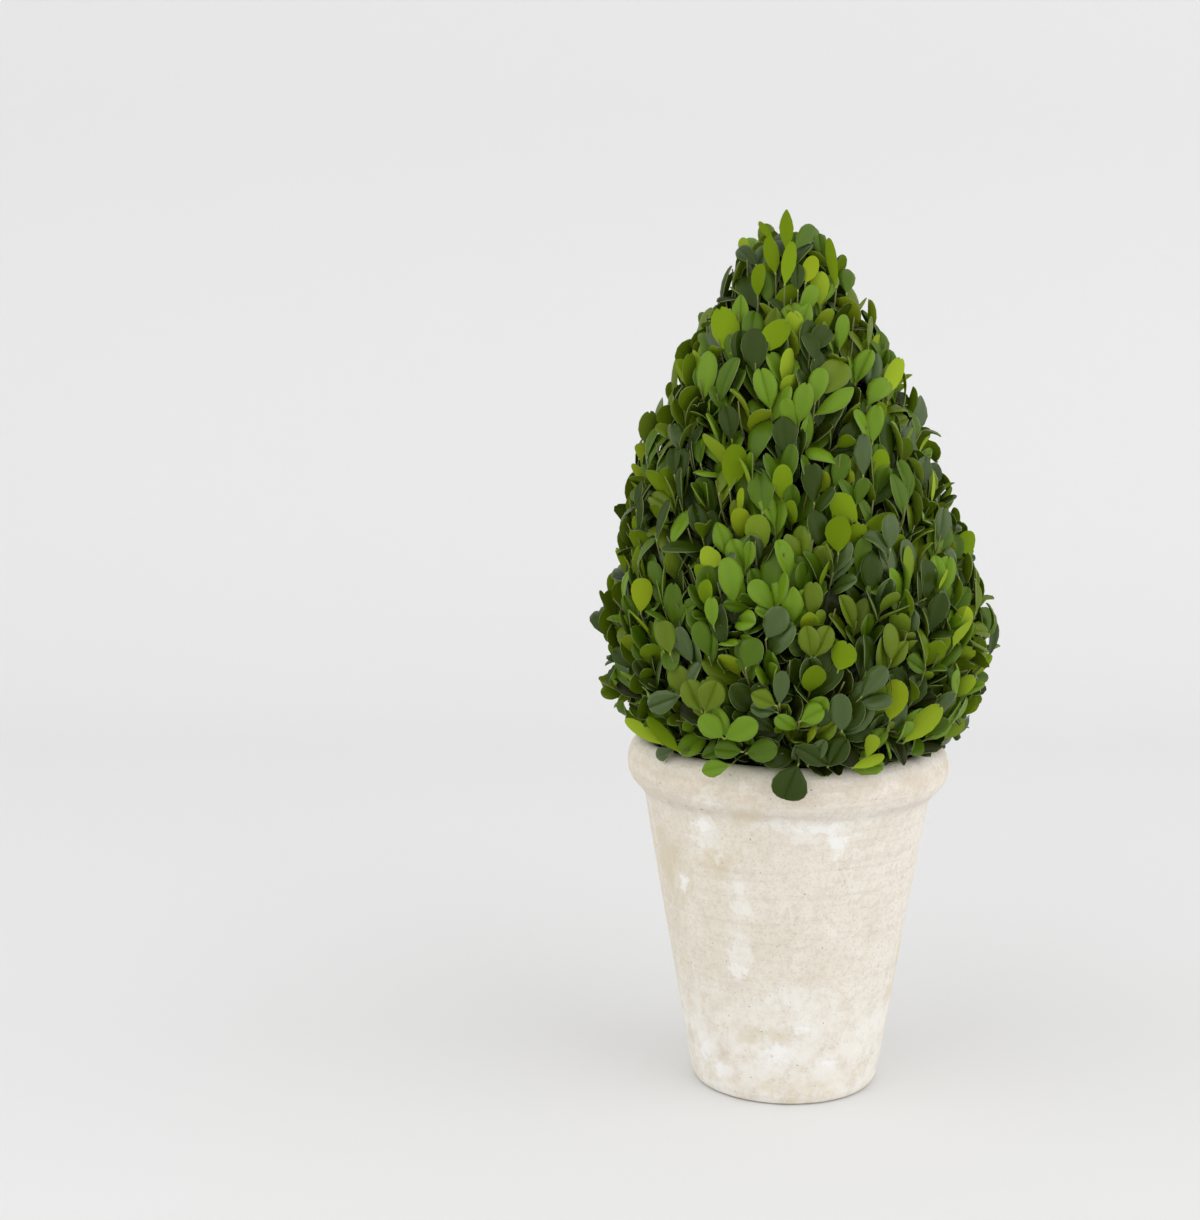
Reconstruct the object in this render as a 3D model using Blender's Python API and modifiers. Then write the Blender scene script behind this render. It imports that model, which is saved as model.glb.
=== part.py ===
"""Potted cone topiary: box sprigs clipped to a cone round a short stem, in a limewashed clay pot.

Metres, +Z up. The pot stands on z = 0 with its axis on Z, and the front of the plant faces -Y.
"""

import math
import random

import bmesh
import bpy
import numpy as np
from mathutils import Matrix, Vector
from mathutils.bvhtree import BVHTree

MM = 0.001
CLEARANCE = 0.3 * MM  # gap left between pieces that touch
UP = Vector((0.0, 0.0, 1.0))

# Pot: a thrown clay cone with a rolled rim
POT_HEIGHT = 194.5 * MM
FOOT_RADIUS = 52.7 * MM
FOOT_CHAMFER = 1.5 * MM
NECK_RADIUS = 80.2 * MM  # just under the rolled rim
NECK_HEIGHT = 167.0 * MM
RIM_RADIUS = 89.7 * MM
RIM_HALF_HEIGHT = 13.0 * MM
RIM_ARC_DEG = (175.0, -62.0)  # from the rim's inner side over its top to its lower edge
RIM_POINTS = 9
WALL = 9.0 * MM
FLOOR_THICKNESS = 12.0 * MM
POT_SIDES = 48

# Filling, up to just under the rim
FILL_TOP = 184.0 * MM
FILL_GAP = 0.8 * MM  # to the pot's wall
FILL_SIDES = 32

# Stem: from a flat cut on the filling up through the crown, leaning a little to the right
STEM_ROOT_RADIUS = 12.0 * MM  # at the root flare
STEM_RADIUS = 7.0 * MM  # just above the flare
STEM_FLARE_HEIGHT = 14.0 * MM
STEM_TIP_RADIUS = 3.0 * MM
STEM_TOP = 424.0 * MM
STEM_LEAN = 4.0 * MM  # sideways from foot to tip
STEM_SWAY = 1.2 * MM
STEM_BEVEL = 3  # ten sides

# Crown: the clipped outline as height and radius
CROWN_OUTLINE_MM = (
    (172, 96), (196, 98), (206, 102), (222, 109), (260, 108), (300, 96), (345, 83),
    (385, 68), (420, 50), (450, 29), (470, 15), (480, 6),
)
CROWN_TOP = 480.0 * MM
TIP_SCATTER = 4.0 * MM  # how far a leaf may stand proud of the outline
CORE_DEPTH = 26.0 * MM  # from the outline in to the dense core
CORE_BOTTOM = 188.0 * MM
CORE_TOP = 446.0 * MM
CORE_TIP_RADIUS = 4.0 * MM
CORE_SIDES = 20
CORE_ROWS = 4

# Masses of foliage: name, the core's lower edge, and the rise of the lower boundary with radius
MASSES = (
    ("foliage_skirt", CORE_BOTTOM, 0.0),
    ("foliage_lower", 251.0 * MM, 0.15),
    ("foliage_upper", 318.0 * MM, 0.25),
    ("foliage_tip", 384.0 * MM, 0.5),
)
BOUNDARY_MARGIN = 0.5 * MM  # kept to each side of the boundary between two masses

# Sprigs: larger than life, as there are fewer of them than on the plant
SPRIG_COUNT = 109
SPRIG_TRIES = 20  # seeded draws for each sprig, of which the fullest is kept
SPRIG_LOWEST = 200.0 * MM  # the lowest foot, just above the rim
SPRIG_DENSITY_AT_MM = ((200, 1.8), (225, 1.0), (390, 1.0), (440, 2.2))
ELEVATION_AT_MM = ((200, -2), (215, 12), (250, 30), (300, 42), (380, 54), (430, 68), (446, 88))
EDGE_BAND = 30.0 * MM  # above the lower edge of a mass, where its sprigs hang to cover the joint
EDGE_HANG_DEG = 28.0
LEAN_SCATTER_DEG = 18.0
SIDEWAYS_SCATTER = 0.35
SHOOT_CHANCE = 0.12
SHOOT_SPREAD = 0.6  # sideways part of a side shoot's direction
SHOOT_SHARE = 0.75  # its length as a share of its twig's
SHOOT_LEAF_SIZE = 0.85
TWIG_RADIUS = 1.7 * MM
TWIG_TIP_RADIUS = 1.3 * MM
TWIG_SUNK = 6.0 * MM  # length of twig inside the core
TWIG_LENGTH = 11.0 * MM  # length of twig outside the core
TWIG_LENGTH_RANGE = (0.8, 1.15)
LEAF_PAIRS = ((0.25, 68.0), (0.62, 48.0), (1.0, 26.0))  # place along the twig, angle from it
SPLAY_SHARE_AT_MM = ((380, 1.0), (446, 0.5))  # the sprigs close up towards the tip
SPLAY_SCATTER_DEG = 7.0

# Leaf: a blunt blade, widest past its middle
LEAF_LENGTH = 30.0 * MM
LEAF_WIDTH = 19.0 * MM
LEAF_THICKNESS = 1.1 * MM
LEAF_CUP = 1.6 * MM  # how far the middle hangs below the edges
LEAF_OUTLINE = ((0.0, 0.0), (0.56, 0.5), (0.97, 0.22), (0.97, -0.22), (0.56, -0.5))
LEAF_RIDGE = 0.48  # place of the thickest point along the blade
LEAF_SIZE_RANGE = (0.88, 1.08)
LEAF_SIZES = (1.0, 0.85, 0.72)  # a leaf without room is made smaller, and then left out

# The single leaf that hangs over the front of the rim, and the leader at the top
HANGING_LEAF_AZIMUTH_DEG = -97.0
HANGING_LEAF_SLOPE = 0.45  # outward for each unit down
HANGING_PAIR_SPREAD = 1.1  # sideways for each unit outward
LEADER_PAIRS = ((0.3, 36.0), (0.6, 22.0), (0.9, 8.0))

GOLDEN_ANGLE = math.pi * (3 - math.sqrt(5))


def read_off(pairs, place):
    """A value between the (place, value) pairs."""
    places, values = np.array(pairs, float).T
    return float(np.interp(place, places, values))


def crown_radius(height):
    return read_off(CROWN_OUTLINE_MM, height / MM) * MM


def core_radius(height):
    """The outline moved in by the core's depth, and rounded off below its top."""
    rise = (height - CORE_BOTTOM) / (CORE_TOP - CORE_BOTTOM)
    rounding = math.sqrt(max(0.0, 1 - rise**8))
    return max(CORE_TIP_RADIUS, (crown_radius(height) - CORE_DEPTH) * rounding)


def sprig_elevation(height, index):
    """How steeply a sprig rises out of the core: flat over the rim, upright at the top, and
    less steep near the lower edge of a mass."""
    above = (height - MASSES[index][1]) / EDGE_BAND
    hang = EDGE_HANG_DEG * max(0.0, 1 - above) if index else 0.0
    return math.radians(read_off(ELEVATION_AT_MM, height / MM) - hang)


def outer_wall_radius(height):
    return FOOT_RADIUS + (NECK_RADIUS - FOOT_RADIUS) * height / NECK_HEIGHT


def inner_wall_radius(height):
    return outer_wall_radius(height) - WALL


def rim_profile(grown=0.0):
    """The rolled rim as (radius, height) points on an upright ellipse."""
    half_width = (RIM_RADIUS - NECK_RADIUS + WALL) / 2
    centre = RIM_RADIUS - half_width
    middle = POT_HEIGHT - RIM_HALF_HEIGHT
    angles = np.radians(np.linspace(*RIM_ARC_DEG, RIM_POINTS))
    radii = centre + (half_width + grown) * np.cos(angles)
    heights = middle + (RIM_HALF_HEIGHT + grown) * np.sin(angles)
    return list(zip(radii.tolist(), heights.tolist()))


def clear_scene():
    for obj in list(bpy.data.objects):
        bpy.data.objects.remove(obj)


def new_collection(name):
    collection = bpy.data.collections.new(name)
    bpy.context.scene.collection.children.link(collection)
    return collection


def make_material(name, colour, roughness):
    material = bpy.data.materials.new(name)
    material.use_nodes = True
    shader = material.node_tree.nodes["Principled BSDF"]
    shader.inputs["Base Color"].default_value = (*colour, 1.0)
    shader.inputs["Roughness"].default_value = roughness
    shader.inputs["Metallic"].default_value = 0.0
    material.diffuse_color = (*colour, 1.0)
    return material


def add_object(name, data, collection, material=None):
    obj = bpy.data.objects.new(name, data)
    collection.objects.link(obj)
    if material:
        data.materials.append(material)
    return obj


def mark_as_cutter(obj):
    obj.hide_render = True
    obj.display_type = "WIRE"
    return obj


def evaluated_mesh(obj):
    graph = bpy.context.evaluated_depsgraph_get()
    return bpy.data.meshes.new_from_object(obj.evaluated_get(graph))


def turned(name, profile, sides, collection, material=None):
    """A profile of (radius, height), from the top down its outer side, turned round Z."""
    mesh = bpy.data.meshes.new(name)
    points = [(radius, 0.0, height) for radius, height in profile]
    edges = [(i, i + 1) for i in range(len(points) - 1)]
    mesh.from_pydata(points, edges, [])
    obj = add_object(name, mesh, collection, material)
    screw = obj.modifiers.new("turn", "SCREW")
    screw.steps = sides
    screw.render_steps = sides
    screw.use_merge_vertices = True
    screw.merge_threshold = 0.01 * MM
    screw.use_smooth_shade = True
    return obj


def build_pot(collection, material):
    profile = [
        (0.0, FLOOR_THICKNESS),
        (inner_wall_radius(FLOOR_THICKNESS), FLOOR_THICKNESS),
        (inner_wall_radius(NECK_HEIGHT), NECK_HEIGHT),
        *rim_profile(),
        (NECK_RADIUS, NECK_HEIGHT),
        (outer_wall_radius(NECK_HEIGHT / 2), NECK_HEIGHT / 2),
        (outer_wall_radius(FOOT_CHAMFER), FOOT_CHAMFER),
        (FOOT_RADIUS - FOOT_CHAMFER, 0.0),
        (0.0, 0.0),
    ]
    return turned("pot", profile, POT_SIDES, collection, material)


def build_filling(collection, material):
    bottom = FLOOR_THICKNESS + CLEARANCE
    profile = [
        (0.0, FILL_TOP),
        (inner_wall_radius(NECK_HEIGHT) - FILL_GAP, FILL_TOP),
        (inner_wall_radius(NECK_HEIGHT) - FILL_GAP, NECK_HEIGHT),
        (inner_wall_radius(bottom) - FILL_GAP, bottom),
        (0.0, bottom),
    ]
    return turned("pot_filling", profile, FILL_SIDES, collection, material)


def stem_radius(height):
    """Root flare at the bottom, then an even taper."""
    above = height - FILL_TOP
    flare = max(0.0, 1 - above / STEM_FLARE_HEIGHT) ** 2 * (STEM_ROOT_RADIUS - STEM_RADIUS)
    share = above / (STEM_TOP - FILL_TOP)
    return STEM_RADIUS + (STEM_TIP_RADIUS - STEM_RADIUS) * share + flare


def stem_centre(height):
    """A slight lean with one slow bend, upright at the foot."""
    share = (height - FILL_TOP) / (STEM_TOP - FILL_TOP)
    lean = STEM_LEAN * share * share * (3 - 2 * share)
    return Vector((lean, STEM_SWAY * math.sin(math.pi * share) ** 2, height))


def limb(name, heights, grown, collection, material=None):
    """A tapering limb: a curve with a radius at each point, made a mesh with welded caps."""
    path = bpy.data.curves.new(name, "CURVE")
    path.dimensions = "3D"
    path.bevel_depth = 1.0
    path.bevel_resolution = STEM_BEVEL
    path.use_fill_caps = True
    spline = path.splines.new("POLY")
    spline.points.add(len(heights) - 1)
    for point, height in zip(spline.points, heights):
        point.co = (*stem_centre(height), 1.0)
        point.radius = stem_radius(height) + grown
    curve = add_object(name + "_path", path, collection)
    bpy.context.view_layer.update()
    mesh = evaluated_mesh(curve)
    bpy.data.objects.remove(curve)
    shape = bmesh.new()
    shape.from_mesh(mesh)
    bmesh.ops.remove_doubles(shape, verts=shape.verts, dist=0.01 * MM)
    bmesh.ops.recalc_face_normals(shape, faces=shape.faces)
    shape.to_mesh(mesh)
    shape.free()
    return add_object(name, mesh, collection, material)


def build_stem(collection, material):
    flare = [FILL_TOP + STEM_FLARE_HEIGHT * share for share in (0.25, 0.5, 0.75, 1.0)]
    heights = [FILL_TOP + CLEARANCE, *flare, *np.linspace(flare[-1], STEM_TOP, 7)[1:]]
    stem = limb("stem", heights, 0.0, collection, material)
    stem.data.shade_smooth()
    return stem


def build_stem_bore(collection):
    """The room that the cores leave for the stem, with a clearance that faceting can't close."""
    heights = [FILL_TOP, *np.linspace(CORE_BOTTOM, STEM_TOP + 2 * CLEARANCE, 8)]
    return mark_as_cutter(limb("stem_bore", heights, 3 * CLEARANCE, collection))


def boundary_height(index, radius):
    """Height of the cone-shaped lower boundary of a mass at this radius."""
    _, low, rise = MASSES[index]
    return low + rise * (radius - core_radius(low))


def build_core(index, bore, collection, material):
    """One slice of the dense core, between the lower boundaries of its mass and the next."""
    name, low, _ = MASSES[index]
    gap = CLEARANCE / 2
    if index + 1 < len(MASSES):
        high = MASSES[index + 1][1]
        top = (0.0, boundary_height(index + 1, 0.0) - gap)
    else:
        high = CORE_TOP
        top = (0.0, CORE_TOP)
    heights = np.linspace(high - gap, low + gap, CORE_ROWS)
    outer = [(core_radius(height), height) for height in heights]
    bottom = (0.0, boundary_height(index, 0.0) + gap)
    core = turned(name, [top, *outer, bottom], CORE_SIDES, collection, material)
    cut = core.modifiers.new("bore", "BOOLEAN")
    cut.operation = "DIFFERENCE"
    cut.solver = "EXACT"
    cut.object = bore
    return core


def leaf_mesh():
    """A leaf from a sphere of five segments and two rings: its ring is the outline, its poles
    are the middles of the upper and the lower face."""
    mesh = bpy.data.meshes.new("leaf")
    shape = bmesh.new()
    sides = len(LEAF_OUTLINE)
    bmesh.ops.create_uvsphere(shape, u_segments=sides, v_segments=2, radius=1.0)
    points = sorted(shape.verts, key=lambda v: v.co.z)
    ring = sorted(points[1:-1], key=lambda v: math.atan2(v.co.y, v.co.x) % math.tau)
    for vertex, (along, across) in zip(ring, reversed(LEAF_OUTLINE)):
        vertex.co = (along * LEAF_LENGTH, across * LEAF_WIDTH, 0.0)
    for pole, side in ((points[0], -0.5), (points[-1], 0.5)):
        pole.co = (LEAF_RIDGE * LEAF_LENGTH, 0.0, side * LEAF_THICKNESS - LEAF_CUP)
    bmesh.ops.recalc_face_normals(shape, faces=shape.faces)
    shape.to_mesh(mesh)
    shape.free()
    return mesh


def twig_mesh(length):
    """A three-sided twig along +X, thick end at the origin."""
    mesh = bpy.data.meshes.new("twig")
    shape = bmesh.new()
    along_x = Matrix.Translation((length / 2, 0, 0)) @ Matrix.Rotation(math.pi / 2, 4, "Y")
    bmesh.ops.create_cone(
        shape,
        cap_ends=True,
        segments=3,
        radius1=TWIG_RADIUS,
        radius2=TWIG_TIP_RADIUS,
        depth=length,
        matrix=along_x,
    )
    shape.to_mesh(mesh)
    shape.free()
    return mesh


def facing(origin, along, up, size=1.0):
    """A placing matrix with X along the piece and Z as near as it gets to up."""
    along = along.normalized()
    across = up.cross(along).normalized()
    matrix = Matrix((along, across, along.cross(across))).transposed().to_4x4()
    matrix.translation = origin
    return matrix @ Matrix.Scale(size, 4)


def twig(start, tip):
    """A piece of a sprig is its kind, its place and, for a twig, its length."""
    axis = tip - start
    return "twig", facing(start, axis, axis.orthogonal()), axis.length


def leaf_pair(node, axis, side, splay, size):
    """Two opposite leaves at a node of a twig, their upper faces turned to the twig's tip."""
    pair = []
    for outward in (side, -side):
        along = axis * math.cos(splay) + outward * math.sin(splay)
        upper = axis * math.sin(splay) - outward * math.cos(splay)
        pair.append(("leaf", facing(node, along, upper, size), 0.0))
    return pair


def draw_sprig(foot, axis, has_shoot, draw):
    """One sprig by the seeded rule: a twig with leaf pairs, each turned a quarter from the one
    below, and now and then a side shoot with a pair of its own."""
    length = TWIG_LENGTH * draw.uniform(*TWIG_LENGTH_RANGE)
    spread = read_off(SPLAY_SHARE_AT_MM, foot.z / MM)
    side = axis.orthogonal().normalized()
    side.rotate(Matrix.Rotation(draw.uniform(0, math.tau), 3, axis))
    crossed = axis.cross(side)
    sprig = [twig(foot - axis * TWIG_SUNK, foot + axis * length)]
    for share, degrees in LEAF_PAIRS:
        splay = spread * math.radians(degrees + draw.uniform(-1, 1) * SPLAY_SCATTER_DEG)
        node = foot + axis * (length * share - TWIG_TIP_RADIUS)
        sprig += leaf_pair(node, axis, side, splay, draw.uniform(*LEAF_SIZE_RANGE))
        side, crossed = crossed, -side
    if has_shoot:
        shoot = (axis + (side + crossed) * SHOOT_SPREAD * draw.choice((-1, 1))).normalized()
        tip = foot + shoot * length * SHOOT_SHARE
        across = shoot.cross(axis).normalized()
        splay = math.radians(LEAF_PAIRS[-1][1])
        sprig.append(twig(foot, tip))
        sprig += leaf_pair(tip - shoot * TWIG_TIP_RADIUS, shoot, across, splay, SHOOT_LEAF_SIZE)
    return sprig


def hanging_sprig():
    """The sprig at the front whose last leaf hangs over the rim."""
    turn = math.radians(HANGING_LEAF_AZIMUTH_DEG)
    outward = Vector((math.cos(turn), math.sin(turn), 0.0))
    side = outward.cross(UP)
    foot = outward * core_radius(SPRIG_LOWEST) + UP * SPRIG_LOWEST
    tip = outward * (RIM_RADIUS + TWIG_RADIUS) + UP * (POT_HEIGHT + 3 * TWIG_RADIUS)
    sprig = [twig(foot - outward * TWIG_SUNK, tip)]
    node = tip - outward * TWIG_TIP_RADIUS
    outer_face = outward + UP * HANGING_LEAF_SLOPE
    sprig.append(("leaf", facing(node, outward * HANGING_LEAF_SLOPE - UP, outer_face), 0.0))
    for across in (side, -side):
        along = outer_face + across * HANGING_PAIR_SPREAD
        sprig.append(("leaf", facing(foot.lerp(tip, 0.5), along, UP, SHOOT_LEAF_SIZE), 0.0))
    return sprig


def leader_sprig():
    """The upright sprig that makes the top of the cone."""
    foot = UP * CORE_TOP
    tip = UP * (CROWN_TOP - LEAF_LENGTH)
    sprig = [twig(foot - UP * TWIG_SUNK, tip)]
    side = Vector((1.0, 0.0, 0.0))
    for share, degrees in LEADER_PAIRS:
        node = foot.lerp(tip, share)
        sprig += leaf_pair(node, UP, side, math.radians(degrees), 1.0)
        side = UP.cross(side)
    return sprig


def in_space(points, index):
    """Whether a piece keeps to its mass: inside the outline, and between the boundaries."""
    for point in points:
        radius = math.hypot(point.x, point.y)
        if point.z > CROWN_TOP or radius > crown_radius(point.z) + TIP_SCATTER:
            return False
        for number, (_, _, rise) in enumerate(MASSES[1:], 1):
            above = (point.z - boundary_height(number, radius)) / math.hypot(1, rise)
            if number == index and above < BOUNDARY_MARGIN:
                return False
            if number == index + 1 and above > -BOUNDARY_MARGIN:
                return False
    return True


def tree_of(mesh, matrix=Matrix()):
    points = [matrix @ v.co for v in mesh.vertices]
    return BVHTree.FromPolygons(points, [tuple(p.vertices) for p in mesh.polygons])


def rim_tree(cutters):
    """The rim grown by the clearance, which no leaf or twig may touch."""
    inner = inner_wall_radius(NECK_HEIGHT) - CLEARANCE
    low = NECK_HEIGHT - WALL
    profile = [(inner, FILL_TOP), *rim_profile(grown=2 * CLEARANCE)]
    profile += [(NECK_RADIUS + CLEARANCE, low), (inner, low)]
    rim = mark_as_cutter(turned("rim_room", profile, POT_SIDES, cutters))
    bpy.context.view_layer.update()
    return tree_of(evaluated_mesh(rim))


class Crown:
    """The pieces placed so far, and the rule that a new one keeps clear of them."""

    def __init__(self, cores, keep_out):
        self.cores = cores
        self.keep_out = keep_out
        self.placed = []
        self.pieces_of = [[] for _ in cores]
        self.leaf = leaf_mesh()

    def mesh_of(self, piece):
        kind, _, length = piece
        return self.leaf if kind == "leaf" else twig_mesh(length)

    def is_clear(self, tree, middle, own_core):
        """True if a piece crosses neither the rim and stem, nor a core, nor a placed piece."""
        blocks = list(self.keep_out)
        blocks += [core for number, core in enumerate(self.cores) if number != own_core]
        near = LEAF_LENGTH * 1.4
        blocks += [other for other, centre in self.placed if (centre - middle).length < near]
        return not any(tree.overlap(block) for block in blocks)

    def fit(self, piece, index, beside):
        """The piece with its tree and middle, or None where it has no room."""
        kind, matrix, _ = piece
        mesh = self.mesh_of(piece)
        corners = [matrix @ v.co for v in mesh.vertices]
        points = corners + [(corners[a] + corners[b]) / 2 for a, b in mesh.edge_keys]
        if not in_space(points, index):
            return None
        middle = sum(corners, Vector()) / len(corners)
        tree = tree_of(mesh, matrix)
        if any(tree.overlap(other) for other in beside):
            return None
        if not self.is_clear(tree, middle, index if kind == "twig" else None):
            return None
        return piece, tree, middle

    def fitting(self, sprig, index):
        """The pieces of a sprig that fit. All leaves of a twig go if the twig does."""
        kept, leaves = [], []
        for piece in sprig:
            kind, matrix, length = piece
            if kind == "twig":
                found = self.fit(piece, index, [])
                if not found:
                    break
            else:
                smaller = ((kind, matrix @ Matrix.Scale(size, 4), length) for size in LEAF_SIZES)
                tries = (self.fit(leaf, index, leaves) for leaf in smaller)
                found = next(filter(None, tries), None)
                if not found:
                    continue
                leaves.append(found[1])
            kept.append(found)
        return kept

    def place(self, kept, index):
        """Takes a sprig into the crown, unless it is a bare twig."""
        if any(kind == "leaf" for (kind, _, _), _, _ in kept):
            self.pieces_of[index] += [piece for piece, _, _ in kept]
            self.placed += [(tree, middle) for _, tree, middle in kept]


def fullness(kept):
    return sum(matrix.to_scale().x for (kind, matrix, _), _, _ in kept if kind == "leaf")


def feet_on_core():
    """Foot and outward direction of each sprig, spread over the core by the golden angle."""
    heights = np.linspace(SPRIG_LOWEST, CORE_TOP, 400)
    weights = [core_radius(h) * read_off(SPRIG_DENSITY_AT_MM, h / MM) for h in heights]
    shares = np.cumsum(weights) / np.sum(weights)
    feet = []
    for number in range(SPRIG_COUNT):
        height = float(np.interp((number + 0.5) / SPRIG_COUNT, shares, heights))
        turn = number * GOLDEN_ANGLE
        outward = Vector((math.cos(turn), math.sin(turn), 0.0))
        feet.append((outward * core_radius(height) + UP * height, outward))
    return feet


def grow_crown(crown, draw):
    crown.place(crown.fitting(hanging_sprig(), 0), 0)
    crown.place(crown.fitting(leader_sprig(), len(MASSES) - 1), len(MASSES) - 1)
    for foot, outward in feet_on_core():
        index = max(number for number, (_, low, _) in enumerate(MASSES) if foot.z >= low)
        has_shoot = draw.random() < SHOOT_CHANCE
        fullest = []
        for _ in range(SPRIG_TRIES):
            lean = sprig_elevation(foot.z, index)
            lean += math.radians(draw.uniform(-LEAN_SCATTER_DEG, LEAN_SCATTER_DEG))
            sideways = outward.cross(UP) * draw.uniform(-SIDEWAYS_SCATTER, SIDEWAYS_SCATTER)
            axis = outward * math.cos(lean) + UP * math.sin(lean) + sideways
            kept = crown.fitting(draw_sprig(foot, axis.normalized(), has_shoot, draw), index)
            fullest = max(fullest, kept, key=fullness)
        crown.place(fullest, index)


def drop_scraps(mesh):
    """Keeps the outer shell: a loose scrap goes, and a hollow that was sealed is filled."""
    shape = bmesh.new()
    shape.from_mesh(mesh)
    left = set(shape.verts)
    shells = []
    while left:
        shell, front = [], [left.pop()]
        while front:
            vertex = front.pop()
            shell.append(vertex)
            beside = {edge.other_vert(vertex) for edge in vertex.link_edges} & left
            left -= beside
            front += beside
        shells.append(shell)
    shells.sort(key=len)
    scraps = [vertex for shell in shells[:-1] for vertex in shell]
    bmesh.ops.delete(shape, geom=scraps, context="VERTS")
    shape.to_mesh(mesh)
    shape.free()


def fuse(core, pieces, crown):
    """Joins a mass: one union of the core with its twigs and leaves, applied."""
    sprigs = new_collection(core.name + "_sprigs")
    for number, piece in enumerate(pieces):
        part = add_object(f"{piece[0]}_{number}", crown.mesh_of(piece), sprigs)
        part.matrix_world = piece[1]
    union = core.modifiers.new("join", "BOOLEAN")
    union.operation = "UNION"
    union.operand_type = "COLLECTION"
    union.collection = sprigs
    union.solver = "MANIFOLD"
    bpy.context.view_layer.update()
    joined = evaluated_mesh(core)
    core.modifiers.clear()
    core.data = joined
    for part in list(sprigs.objects):
        bpy.data.objects.remove(part)
    bpy.data.collections.remove(sprigs)
    drop_scraps(joined)
    leaves = sum(kind == "leaf" for kind, _, _ in pieces)
    print(core.name, leaves, "leaves", len(pieces) - leaves, "twigs", len(joined.polygons), "faces")


def main():
    clear_scene()
    topiary = new_collection("potted_cone_topiary")
    cutters = new_collection("cutters")
    clay = make_material("limewashed_clay", (0.72, 0.66, 0.57), 0.9)
    filling = make_material("dry_filling", (0.10, 0.07, 0.04), 0.95)
    bark = make_material("box_bark", (0.22, 0.18, 0.12), 0.85)
    leaves = make_material("box_leaves", (0.08, 0.19, 0.03), 0.55)
    build_pot(topiary, clay)
    build_filling(topiary, filling)
    build_stem(topiary, bark)
    bore = build_stem_bore(cutters)
    cores = [build_core(index, bore, topiary, leaves) for index in range(len(MASSES))]
    bpy.context.view_layer.update()
    keep_out = (rim_tree(cutters), tree_of(bore.data))
    crown = Crown([tree_of(evaluated_mesh(core)) for core in cores], keep_out)
    grow_crown(crown, random.Random(11))
    for core, pieces in zip(cores, crown.pieces_of):
        fuse(core, pieces, crown)


main()
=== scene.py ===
import math
import time

import bpy
import numpy as np
from mathutils import Matrix, Vector
from mathutils.bvhtree import BVHTree


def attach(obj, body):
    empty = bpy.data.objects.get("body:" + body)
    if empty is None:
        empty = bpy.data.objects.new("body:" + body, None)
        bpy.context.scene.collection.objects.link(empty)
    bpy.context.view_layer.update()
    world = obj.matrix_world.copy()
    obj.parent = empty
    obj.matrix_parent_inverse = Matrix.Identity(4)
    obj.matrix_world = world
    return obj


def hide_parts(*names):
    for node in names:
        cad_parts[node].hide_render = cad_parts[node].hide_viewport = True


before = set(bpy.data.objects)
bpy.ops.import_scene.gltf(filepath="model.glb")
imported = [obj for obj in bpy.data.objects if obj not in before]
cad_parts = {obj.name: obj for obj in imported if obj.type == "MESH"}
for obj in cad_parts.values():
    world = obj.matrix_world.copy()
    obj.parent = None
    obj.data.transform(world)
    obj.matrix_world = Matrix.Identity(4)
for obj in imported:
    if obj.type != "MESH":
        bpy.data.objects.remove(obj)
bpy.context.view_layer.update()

# Potted cone topiary: box sprigs on a short stem, in a clay pot with a worn lime wash.
# The pot's underside is at the origin, +Z is up and the front of the plant looks along -Y.
# Lengths below are in millimetres, and makePiece turns them to metres.

began = time.time()
mm = 0.001


def say(stage):
    print(f"{time.time() - began:6.1f} s  {stage}")


def linearColour(code):  # sRGB hex to linear light, channel by channel
    parts = [int(code[i : i + 2], 16) / 255 for i in (1, 3, 5)]
    return [p / 12.92 if p <= 0.04045 else ((p + 0.055) / 1.055) ** 2.4 for p in parts] + [1.0]


def addNode(tree, kind, settings=None, inputs=None, stops=None):
    # One node: its settings, then a value or another node's socket for each named input, then ramp stops.
    node = tree.nodes.new("ShaderNode" + kind)
    for name, value in (settings or {}).items():
        setattr(node, name, value)
    for name, value in (inputs or {}).items():
        if isinstance(value, bpy.types.NodeSocket):
            tree.links.new(value, node.inputs[name])
        else:
            node.inputs[name].default_value = value
    for place, (position, colour) in enumerate(stops or []):
        elements = node.color_ramp.elements
        element = elements[place] if place < 2 else elements.new(position)
        element.position = position
        element.color = colour
    return node


def newMaterial(name, **shader):  # a principled shader with these plain values on its own sockets
    material = bpy.data.materials.new(name)
    material.use_nodes = True
    principled = material.node_tree.nodes["Principled BSDF"]
    for socket, value in shader.items():
        principled.inputs[socket.replace("_", " ")].default_value = value
    return material, material.node_tree, principled


def unit(vectors):
    return vectors / np.linalg.norm(vectors, axis=-1, keepdims=True)


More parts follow.
